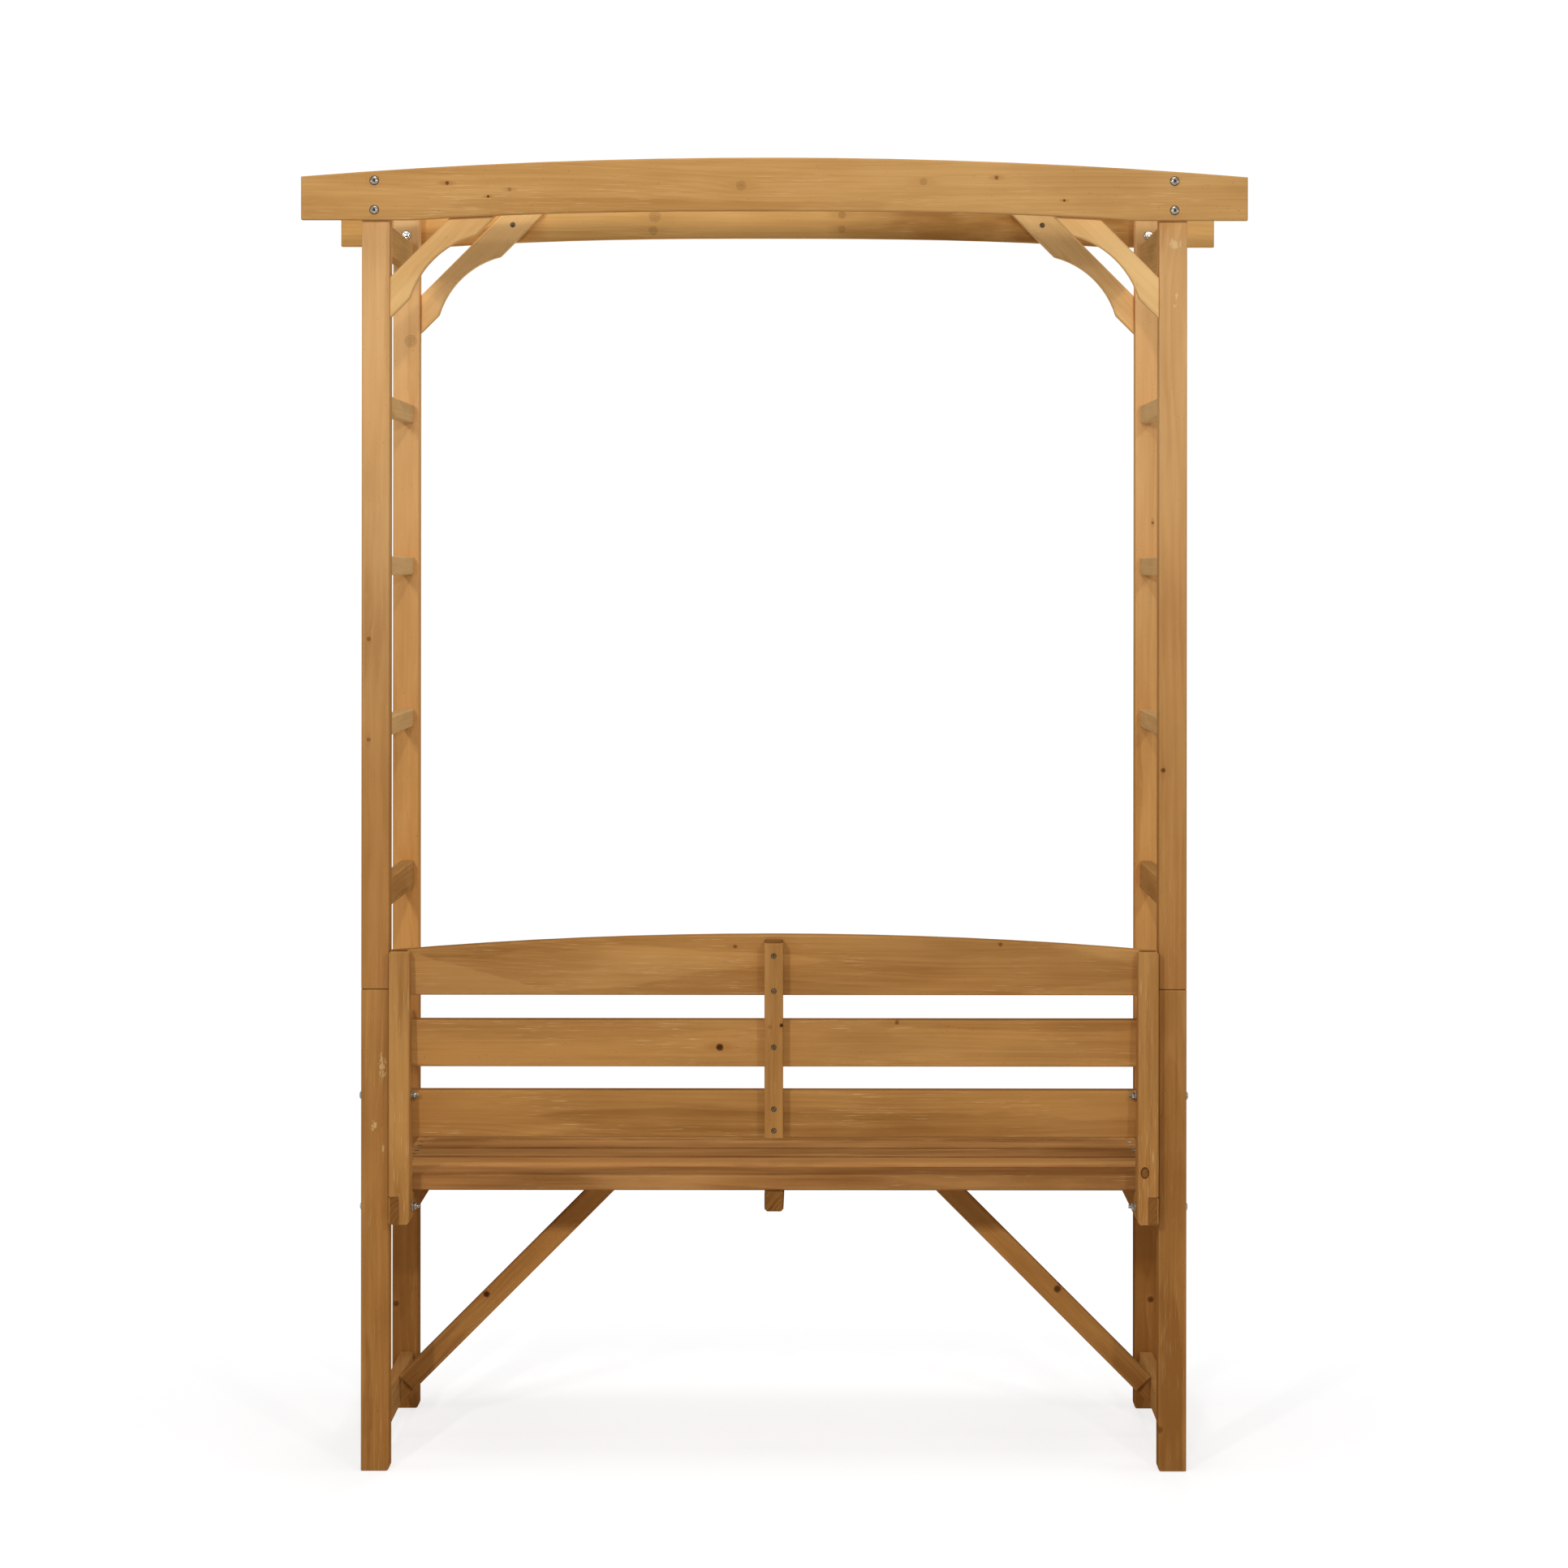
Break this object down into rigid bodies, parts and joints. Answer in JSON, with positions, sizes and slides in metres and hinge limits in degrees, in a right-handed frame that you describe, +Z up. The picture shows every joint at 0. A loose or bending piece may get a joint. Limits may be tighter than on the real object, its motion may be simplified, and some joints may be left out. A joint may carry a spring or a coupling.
{
  "type": "arbour seat",
  "caption": "Timber garden seat with a slatted back, under an open arch of paired beams, scooped brackets and ladder sides.",
  "frame": {"origin": "on the floor, under the middle of the whole seat", "axes": "+Z up, +Y from the back of the seat to its front, +X to the sitter's right"},
  "size_m": [1.474, 0.5664, 2.049],
  "materials": {
    "stained_timber": "honey stain, satin",
    "rung_timber": "honey stain, paler",
    "plug_timber": "dark end plug, satin",
    "zinc_steel": "dull zinc"
  },
  "bodies": {
    "root": {"back_batten": "stained_timber", "centre_bearer": "stained_timber", "front_beam": "stained_timber", "left_arm_rail": "stained_timber", "left_brace": "stained_timber", "left_foot_rail": "stained_timber", "left_front_bracket": "stained_timber", "left_front_lower_beam_bolt": "zinc_steel", "left_front_lower_post": "stained_timber", "left_front_seat_bolt": "zinc_steel", "left_front_upper_beam_bolt": "zinc_steel", "left_front_upper_post": "stained_timber", "left_lattice_rail": "stained_timber", "left_rear_bracket": "stained_timber", "left_rear_lower_beam_bolt": "zinc_steel", "left_rear_lower_post": "stained_timber", "left_rear_seat_bolt": "zinc_steel", "left_rear_upper_beam_bolt": "zinc_steel", "left_rear_upper_post": "stained_timber", "left_rung_1": "rung_timber", "left_rung_2": "rung_timber", "left_rung_3": "rung_timber", "left_seat_rail": "stained_timber", "left_stile": "stained_timber", "left_stile_bolt": "zinc_steel", "left_top_rail": "stained_timber", "low_back_slat": "stained_timber", "middle_back_slat": "stained_timber", "rear_beam": "stained_timber", "right_arm_rail": "stained_timber", "right_brace": "stained_timber", "right_foot_rail": "stained_timber", "right_front_bracket": "stained_timber", "right_front_lower_beam_bolt": "zinc_steel", "right_front_lower_post": "stained_timber", "right_front_seat_bolt": "zinc_steel", "right_front_upper_beam_bolt": "zinc_steel", "right_front_upper_post": "stained_timber", "right_lattice_rail": "stained_timber", "right_rear_bracket": "stained_timber", "right_rear_lower_beam_bolt": "zinc_steel", "right_rear_lower_post": "stained_timber", "right_rear_seat_bolt": "zinc_steel", "right_rear_upper_beam_bolt": "zinc_steel", "right_rear_upper_post": "stained_timber", "right_rung_1": "rung_timber", "right_rung_2": "rung_timber", "right_rung_3": "rung_timber", "right_seat_rail": "stained_timber", "right_stile": "stained_timber", "right_stile_bolt": "zinc_steel", "right_stile_plug": "plug_timber", "right_top_rail": "stained_timber", "seat_slat_1": "stained_timber", "seat_slat_2": "stained_timber", "seat_slat_3": "stained_timber", "seat_slat_4": "stained_timber", "seat_slat_5": "stained_timber", "top_back_slat": "stained_timber"}
  },
  "joints": []
}
